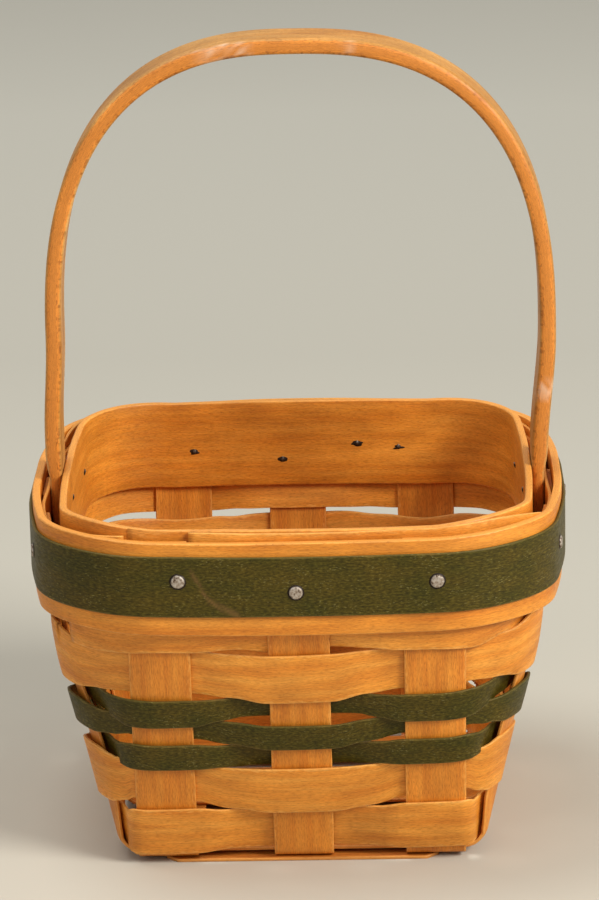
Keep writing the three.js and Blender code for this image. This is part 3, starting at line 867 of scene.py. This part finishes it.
def swing_at(zones, run):
    if run <= zones[0][1]:
        return zones[0][2]
    for zone, after in zip(zones, zones[1:]):
        if run <= after[0]:
            share = (run - zone[1]) / (after[0] - zone[1])
            if after[2] < -weave_step:
                share /= dive_share
            if zone[2] < -weave_step:
                share = 1 - (1 - share) / dive_share
            return mix(zone[2], after[2], smooth(share))
        if run <= after[1]:
            middle = (after[0] + after[1]) / 2
            crown = 1 - ((run - middle) / (after[1] - middle)) ** 2
            return after[2] + math.copysign(row_slack, after[2]) * crown
    return zones[-1][2]


def nearness(level, run, stake):
    """One at an upright, less and less away from it."""
    around = 2 * half_run(level)
    away = abs((run - upright_run(level, stake) + around / 2) % around - around / 2)
    return smooth(1 - away / corner_row_reach)


def row_piece(row, material):
    number = row["number"]
    level = row["level"]
    zones = row_zones(row)
    clamped = row["bottom"] >= clamped_row
    near = functools.partial(nearness, level)
    lead = {7: clamped_row_lead, 8: -stake_width - clamped_row_tail}.get(number, row_lead)
    tail = -clamped_row_tail if clamped else stake_width + row_lap
    start = zones[0][0] + upright_ease - lead
    end = zones[-1][0] + upright_ease + tail

    def at_corners(run, pair):
        return pair[0] * near(run, left_front) + pair[1] * near(run, right_front)

    @functools.lru_cache(maxsize=None)
    def edges_at(run):
        swing = clamp(swing_at(zones, run) / weave_step, -1, 1)
        low, high = row["seen"]
        share = swing * swing
        side, _, turn = place_at(level, run)
        front_corner = math.sin(2 * turn) if side in (0, 3) else 0
        if swing > 0:
            low = mix(row["bottom"], low, share)
            high = mix(row["top"], high, share)
            low += share * at_corners(run, row["low_corners"])
            high += share * at_corners(run, row["high_corners"])
        else:
            drop = ((row["bottom"] + row["top"]) - (low + high)) / 2
            drop += row["inner_rise"] * (near(run, front_left) + near(run, front_right))
            low = row["bottom"] + drop * share
            high = row["top"] + drop * share
        if number == 7 and swing > 0:
            low -= clamped_row_drop * front_corner * share
        if number == 7 and swing < 0:
            ahead = run_of(level, 0, -stake_width / 2) - run
            sag = middle_sag * smooth(ahead / sag_end + 1)
            low -= sag * near(run, front_middle) * share
            low += back_right_rise * near(run, right_back)
        if clamped:
            return low, high
        if number == 6:
            left = near(run, back_left)
            right = near(run, back_right)
            high -= back_left_dip * left + back_right_dip * right
        low += row["corner_rise"] * front_corner
        high += row["corner_rise"] * front_corner
        low += row_uneven * wander(run, number + 0.2, row_low_run)
        high += row_uneven * wander(run, number + 0.7, row_high_run)
        return low, high

    def shape(run):
        low, high = edges_at(run)
        return (high - low) / 2, splint / 2

    @functools.lru_cache(maxsize=None)
    def slack_at(run):
        swing = clamp(swing_at(zones, run) / weave_step, 0, 1)
        return swing * at_corners(run, row["slack"])

    def place(run, x, y):
        low, high = edges_at(run)
        height = (low + high) / 2 + x
        offset = swing_at(zones, run) * (1 - clamp_share(height) / 2) + slack_at(run) + y
        if number == 7:
            poke = smooth((zones[0][0] - run) / lead) * (1 - clamp_share(height))
            offset += clamped_row_poke * poke
        point = outline_point(wall, place_beside(level, height, run), height, offset)
        rise = 0 if clamped else row_tilt * point[0]
        if number == 8:
            side, _, turn = place_at(level, run)
            rise = mix(top_row_rises[side], top_row_rises[(side + 1) % 4], (turn / quarter) ** 3)
        return (point[0], point[1], point[2] + rise)

    stations = fine_stations(start, end)
    strip_piece(f"row_{number}", stations, shape, place, 50 + 5 * number, material)


def make_rows(materials):
    for row in rows:
        wood = "green" if row["number"] in green_rows else "row"
        row_piece(row, materials[wood])


# Base


def filler_piece(name, size, middle, clip, seed, material):
    """A flat strip on the floor. The corners away from the middle are clipped."""
    half_length, width = size
    side = math.copysign(1, middle)

    def clip_at(t):
        near = clamp((half_length - abs(t)) / clip, 0, 1) if clip else 1
        return (1 - near) * width * clip_share

    def shape(t):
        return (width - clip_at(t)) / 2, splint / 2

    def place(t, x, y):
        return (t, middle - side * clip_at(t) / 2 + x, splint / 2 + y)

    clips = (clip - half_length, half_length - clip) if clip else ()
    stations = fine_stations(-half_length, half_length, clips)
    strip_piece(name, stations, shape, place, seed, material)


def make_fillers(material):
    inner = width_stake_pitch / 2
    edge = edge_filler_reach - edge_filler_width / 2
    edge_size = (edge_filler_half, edge_filler_width)
    base_size = (filler_half, filler_width)
    filler_piece("edge_filler_front", edge_size, -edge, corner_clip, 91, material)
    filler_piece("base_filler_front", base_size, -inner, 0, 92, material)
    filler_piece("base_filler_back", base_size, inner, 0, 93, material)
    filler_piece("edge_filler_back", edge_size, edge, corner_clip, 94, material)


# Bands


def band_piece(name, outline, inside, thickness, bottom, height, lap, tip, seed, material, rounding,
               lap_middle=None, drops=(0, 0), mark=no_mark, steps=8, extra=()):
    """One strip round the rim, whose ends overlap in a long taper. Its edges drop at the corners."""
    level = inner_band_bottom
    if lap_middle is None:
        lap_middle = run_of(level, 2, -mix(back_nails[1][0], back_nails[2][0], 0.5))
    start = lap_middle - lap / 2
    around = 2 * half_run(level)
    end = start + around + lap * (1 - (tip + seat) / (thickness - tip))

    def faces(run):
        opening = (thickness - tip) * (1 - clamp((run - start) / lap, 0, 1))
        closing = (run - start - around) / lap
        far = inside + (thickness - tip) * (1 - closing) - seat if closing >= 0 else inside + thickness
        near = inside + opening
        if closing > 0.5:
            near += seat * smooth(2 * closing - 1)
            far += seat * smooth(2 * closing - 1)
        return near, far

    def shape(run):
        near, far = faces(run)
        return height / 2 + band_uneven * wander(run, seed, band_uneven_run), (far - near) / 2

    def place(run, x, y):
        near, far = faces(run)
        rise = band_wave * wander(run, seed + 0.5, band_wave_run)
        where = place_at(level, run)
        rise -= mix(drops[0], drops[1], 0.5 + x / height) * math.sin(2 * where[2])
        return outline_point(outline, where, bottom + height / 2 + rise + x, (near + far) / 2 + y)

    stations = fine_stations(start, end, (start + lap, start + around) + tuple(extra))
    strip_piece(name, stations, shape, place, seed, material, rounding, mark, steps)


def scuff_along(run):
    """Distance of a run on the trim strip's front from that side's middle."""
    return run - run_of(inner_band_bottom, 0, 0) - 2 * half_run(inner_band_bottom)


def scuff(run, x, y):
    """How much of the brown scratch on the trim strip shows at a place."""
    along = scuff_along(run)
    places, heights = zip(*scuff_line)
    if y < 0 or not places[0] < along < places[-1]:
        return 0
    away = trim_middle + x - float(np.interp(along, places, heights))
    ends = smooth((along - places[0]) / scuff_width) * smooth((places[-1] - along) / scuff_width)
    ragged = 0.5 + 0.7 * wander(run + x, 5, scuff_width / 2)
    return ends * smooth(1 - abs(away) / scuff_width) * ragged


def make_bands(materials):
    scuff_first = scuff_line[0][0] - scuff_along(0)
    scuff_last = scuff_line[-1][0] - scuff_along(0)
    scuff_stations = [mix(scuff_first, scuff_last, (i + 0.5) / scuff_steps) for i in range(scuff_steps)]
    band_piece("inner_band", inner_rim, inner_band_inside, inner_band_thickness, inner_band_bottom,
               inner_band_height, band_lap, inner_band_tip, 101, materials["band"],
               inner_band_round, lap_middle=run_of(inner_band_bottom, 0, inner_band_lap_place))
    band_piece("outer_band", rim, outer_band_inside, outer_band_thickness, outer_band_bottom,
               outer_band_height, band_lap, outer_band_tip, 104, materials["band"],
               outer_band_round, drops=outer_band_drops)
    band_piece("trim_strip", rim, trim_inside, trim_thickness, trim_bottom,
               trim_height, trim_lap, trim_tip, 107, materials["green"],
               trim_round, drops=trim_drops, mark=scuff, steps=28, extra=scuff_stations)


# Handle


def handle_stations():
    """(x, z, thickness) from the left foot over the top to the right foot."""
    foot_inside = inner_band_half_width + inner_band_thickness + seat
    leg_start = top_row_top
    middle = handle_top - handle_thickness / 2
    rise = middle - handle_spring

    def leg(side, reach, start, curve):
        found = []
        for height in fine_stations(handle_foot, leg_start):
            thickness = clamp(handle_spread * handle_rise(height) - seat, splint, handle_foot_thickness)
            found.append((side * (foot_inside + thickness / 2), height, thickness))
        for height in fine_stations(leg_start, handle_spring)[1:]:
            swell = math.sin(quarter * clamp((height - leg_start) / handle_swell, 0, 1))
            thickness = mix(handle_foot_thickness, handle_thickness, swell)
            leant = smooth((height - start) / (handle_spring - start))
            x = mix(foot_inside + thickness / 2, reach, leant)
            found.append((side * x, height, thickness))
        for i in range(1, arch_steps):
            angle = quarter * i / arch_steps
            x = reach * math.cos(angle) ** (2 / curve)
            z = handle_spring + rise * math.sin(angle) ** (2 / curve)
            found.append((side * x, z, handle_thickness))
        return found

    left = leg(-1, handle_left_reach, handle_left_start, handle_left_curve)
    right = leg(1, handle_right_reach, handle_right_start, handle_right_curve)
    return left + [(0, middle, handle_thickness)] + right[::-1]


def make_handle(material):
    stations = handle_stations()
    centres = [Vector((x, 0, z)) for x, z, _ in stations]
    runs = [0]
    for before, after in zip(centres, centres[1:]):
        runs.append(runs[-1] + (after - before).length)
    at = {run: i for i, run in enumerate(runs)}

    def shape(run):
        uneven = handle_uneven * wander(run, 120, handle_uneven_run)
        return handle_width / 2 + uneven, stations[at[run]][2] / 2

    def place(run, x, y):
        i = at[run]
        before = centres[max(i - 1, 0)]
        after = centres[min(i + 1, len(centres) - 1)]
        on = (after - before).normalized()
        if centres[i].z < top_row_top:
            on = Vector((0, 0, math.copysign(1, on.z)))
        outside = Vector((-on.z, 0, on.x))
        return tuple(centres[i] + outside * y + Vector((0, x, 0)))

    def scuffs(run, x, y):
        """Pale bare spots on the handle's front."""
        if x > handle_edge - handle_width / 2:
            return 0
        centre = centres[at[run]]
        shown = 0
        for across, height, size in handle_scuffs:
            away = math.hypot(centre.x - across, centre.z - height)
            shown = max(shown, smooth(1.2 - away / size))
        return 0.6 * shown * clamp(0.35 + 1.3 * wander(run + 3 * y, 6, 0.9 * mm), 0, 1)

    strip_piece("handle", runs, shape, place, 120, material, handle_edge, scuffs, 16)


# Nails


def nail_line(side, along, rise):
    """The point under a nail's head, its way in, and the depth to the inner band's inside."""
    height = trim_middle + rise

    face = trim_inside + trim_thickness

    def on_trim(where):
        return Vector(outline_point(rim, (side, where / rim_flat, 0), height, face))

    tangent = (on_trim(along + nail_radius) - on_trim(along - nail_radius)).normalized()
    inwards = Vector((0, 0, 1)).cross(tangent)
    head = on_trim(along)
    away = Vector(outward[side] + (0,))
    inside = Vector(outline_point(inner_rim, (side, along / rim_flat, 0), height, inner_band_inside))
    depth = (head.dot(away) - inside.dot(away)) / -inwards.dot(away)
    return head, inwards, depth


def nail_piece(name, line, seed, material):
    """A round uneven head, a shank, and a short bent tip inside, with rust and torn wood round it. The
    collar under the head is painted dark as shade.
    """
    head, inwards, depth = line
    up = Vector((0, 0, 1))
    aside = inwards.cross(up).normalized()
    count = 28
    angles = [4 * quarter * k / count for k in range(count)]
    collar = 0.92
    # The head, as (radius, rise) in head radii and head heights, out to a collar under it that is painted
    # dark as shade
    outline = [(0.04, -0.92), (0.3, -0.94), (0.6, -0.92), (0.8, -0.82)]
    outline += [(0.9, -0.5), (0.94, -0.12), (1.14, -0.06), (1.1, 0.2)]
    rings = []
    marks = []
    for radius, rise in outline:
        # The collar rings are marked dark: painted shade under the head's rim
        marks += [1 if radius > collar else 0] * count
        ring = []
        for angle in angles:
            rough = 1 + 0.06 * wander(angle, seed, 1.3) + 0.03 * wander(angle + 9 * radius, seed + 4, 0.5)
            dent = 0.12 * wander(radius * 3 + angle, seed + 0.6, 1.3)
            spread = radius * nail_head_radius * rough
            way = aside * math.cos(angle) + up * math.sin(angle)
            sunk = (rise + dent * radius) * nail_head_height
            ring.append(tuple(head + way * spread + inwards * sunk))
        rings.append(ring)
    # The shank, the torn wood and the bent tip, as (radius, depth, lift, darkness)
    tip = [
        (nail_radius, 0.2 * mm, 0, 1),
        (nail_radius, depth - 0.4 * mm, 0, 1),
        (stain_radius, depth - 0.02 * mm, 0, 1),
        (stain_radius * 0.9, depth + 0.03 * mm, 0, 1),
        (nail_radius, depth + 0.05 * mm, 0, 1),
        (nail_radius * 0.8, depth + 0.15 * mm, 0, 1),
        (nail_radius * 0.7, depth + 0.25 * mm, 0.4 * mm, 0.8),
        (nail_radius * 0.3, depth + 0.15 * mm, 1 * mm, 0.4),
    ]
    for radius, reach, lift, dark in tip:
        marks += [dark] * count
        ring = []
        for angle in angles:
            bent = clamp(lift / mm, 0, 1)
            way = aside * math.cos(angle) + (up * (1 - bent) - inwards * bent) * math.sin(angle)
            turned = math.cos(angle) + 3 * math.sin(angle)
            ragged = 1 + 0.8 * wander(turned, seed + 7, 2.2) if radius > nail_radius else 1
            if radius > nail_radius:
                way = aside * (math.cos(angle) * stain_stretch) + up * (math.sin(angle) / stain_stretch)
            ring.append(tuple(head + inwards * reach + up * lift + way * radius * ragged))
        rings.append(ring)
    grain = [(0, 0, seed)] * len(marks)
    new_piece(name, rings, grain, [0] * len(marks), marks, material)


def make_nails(material):
    places = [(f"nail_front_{i + 1}", 0, x, rise) for i, (x, rise) in enumerate(front_nails)]
    places += [(f"nail_back_{i + 1}", 2, -x, rise) for i, (x, rise) in enumerate(back_nails)]
    for word, side in (("right", 1), ("left", 3)):
        places += [(f"nail_{word}_{i + 1}", side, x, rise) for i, (x, rise) in enumerate(side_nails)]
    for seed, (name, side, along, rise) in enumerate(places):
        nail_piece(name, nail_line(side, along, rise), 200 + seed, material)


# Stage


def make_floor():
    mesh = bpy.data.meshes.new("floor")
    corners = [(x * floor_half, y * floor_half, 0) for x, y in ((-1, -1), (1, -1), (1, 1), (-1, 1))]
    mesh.from_pydata(corners, [], [(0, 1, 2, 3)])
    floor = bpy.data.objects.new("floor", mesh)
    bpy.context.scene.collection.objects.link(floor)
    material, tree, shader = new_material("backdrop paper")
    place = tree.nodes.new("ShaderNodeNewGeometry")
    split = tree.nodes.new("ShaderNodeSeparateXYZ")
    tree.links.new(place.outputs["Position"], split.inputs[0])
    depth = tree.nodes.new("ShaderNodeMapRange")
    set_inputs(depth, From_Min=-0.2, From_Max=0.9)
    tree.links.new(split.outputs["Y"], depth.inputs["Value"])
    # The floor's colour is painted darker about 0.1 to 0.5 m behind the middle and lighter in front and
    # far back: painted shade and light on the backdrop
    tones = [
        (0, srgb(193, 184, 168)),
        (0.3, srgb(183, 178, 164)),
        (0.6, srgb(182, 178, 165)),
        (1, srgb(201, 198, 185)),
    ]
    colour = ramp(tree, depth.outputs[0], tones)
    tree.links.new(colour, shader.inputs["Base Color"])
    set_inputs(shader, Roughness=0.9)
    mesh.materials.append(material)


def area_light(name, place, size, power, colour=(1, 1, 1)):
    light = bpy.data.lights.new(name, "AREA")
    light.shape = "DISK"
    light.size = size
    light.energy = power
    light.color = colour
    lamp = bpy.data.objects.new(name, light)
    bpy.context.scene.collection.objects.link(lamp)
    lamp.location = place
    lamp.rotation_euler = (Vector(lamps_aim) - Vector(place)).to_track_quat("-Z", "Y").to_euler()


def make_lights():
    area_light("key", (1.0, -0.72, 0.9), 0.6, 23.5, (1, 0.99, 0.96))
    area_light("fill", (-0.8, -1, 0.8), 0.9, 2.6)
    area_light("top", (-0.4, 0.1, 1.4), 0.8, 10)
    world = bpy.data.worlds.new("studio")
    world.use_nodes = True
    set_inputs(world.node_tree.nodes["Background"], Color=(1, 0.98, 0.95, 1), Strength=0.4)
    bpy.context.scene.world = world


def make_camera():
    turn = Matrix.Rotation(-camera_yaw, 3, "Z")
    forward = Vector((0, math.cos(camera_pitch), -math.sin(camera_pitch)))
    up = Vector((0, math.sin(camera_pitch), math.cos(camera_pitch)))
    right = Vector((1, 0, 0))
    tilted_right = right * math.cos(camera_roll) + up * math.sin(camera_roll)
    tilted_up = up * math.cos(camera_roll) - right * math.sin(camera_roll)
    axes = [turn @ tilted_right, turn @ tilted_up, turn @ -forward]
    lens = bpy.data.cameras.new("camera")
    lens.lens = camera_lens
    lens.sensor_width = camera_sensor
    lens.clip_start = 0.05
    lens.clip_end = 100
    camera = bpy.data.objects.new("camera", lens)
    bpy.context.scene.collection.objects.link(camera)
    matrix = Matrix([[axis[i] for axis in axes] for i in range(3)]).to_4x4()
    camera.matrix_world = Matrix.Translation(camera_place) @ matrix
    bpy.context.scene.camera = camera


make_camera()
materials = make_materials()
make_stakes(materials["stake"])
make_rows(materials)
make_fillers(materials["filler"])
make_bands(materials)
make_handle(materials["handle"])
make_nails(materials["nail"])
make_floor()
make_lights()
bpy.context.scene.view_settings.view_transform = "Standard"
